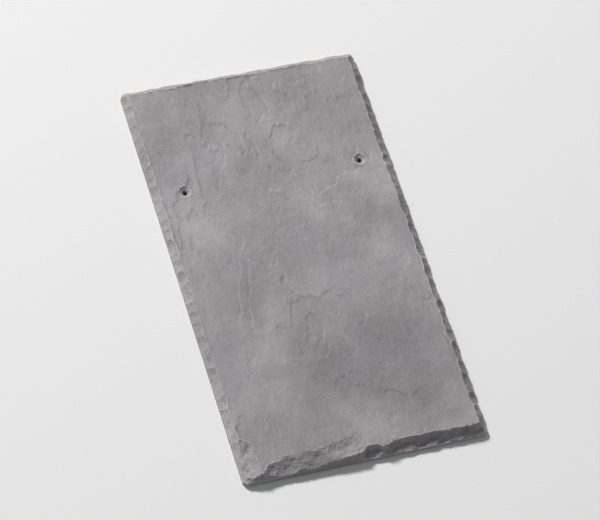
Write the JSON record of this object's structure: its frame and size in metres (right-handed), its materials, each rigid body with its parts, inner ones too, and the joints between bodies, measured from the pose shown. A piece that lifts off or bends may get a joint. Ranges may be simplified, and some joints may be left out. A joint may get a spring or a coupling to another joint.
{
  "type": "slate roof tile",
  "caption": "Thick rectangular roof slate with dressed edges and punched nail holes; laid in lapped courses, its tail and lower face show.",
  "frame": {"origin": "middle of the bed, the underside that lies on the roof or the floor", "axes": "+Y towards the head, the end that goes up the slope; +X along the course, to the right seen from the face; +Z out of the face"},
  "size_m": [0.305, 0.559, 0.016],
  "materials": {
    "slate": "split stone, matt, weathered mid grey"
  },
  "bodies": {
    "root": {"slate": "slate"}
  },
  "joints": []
}
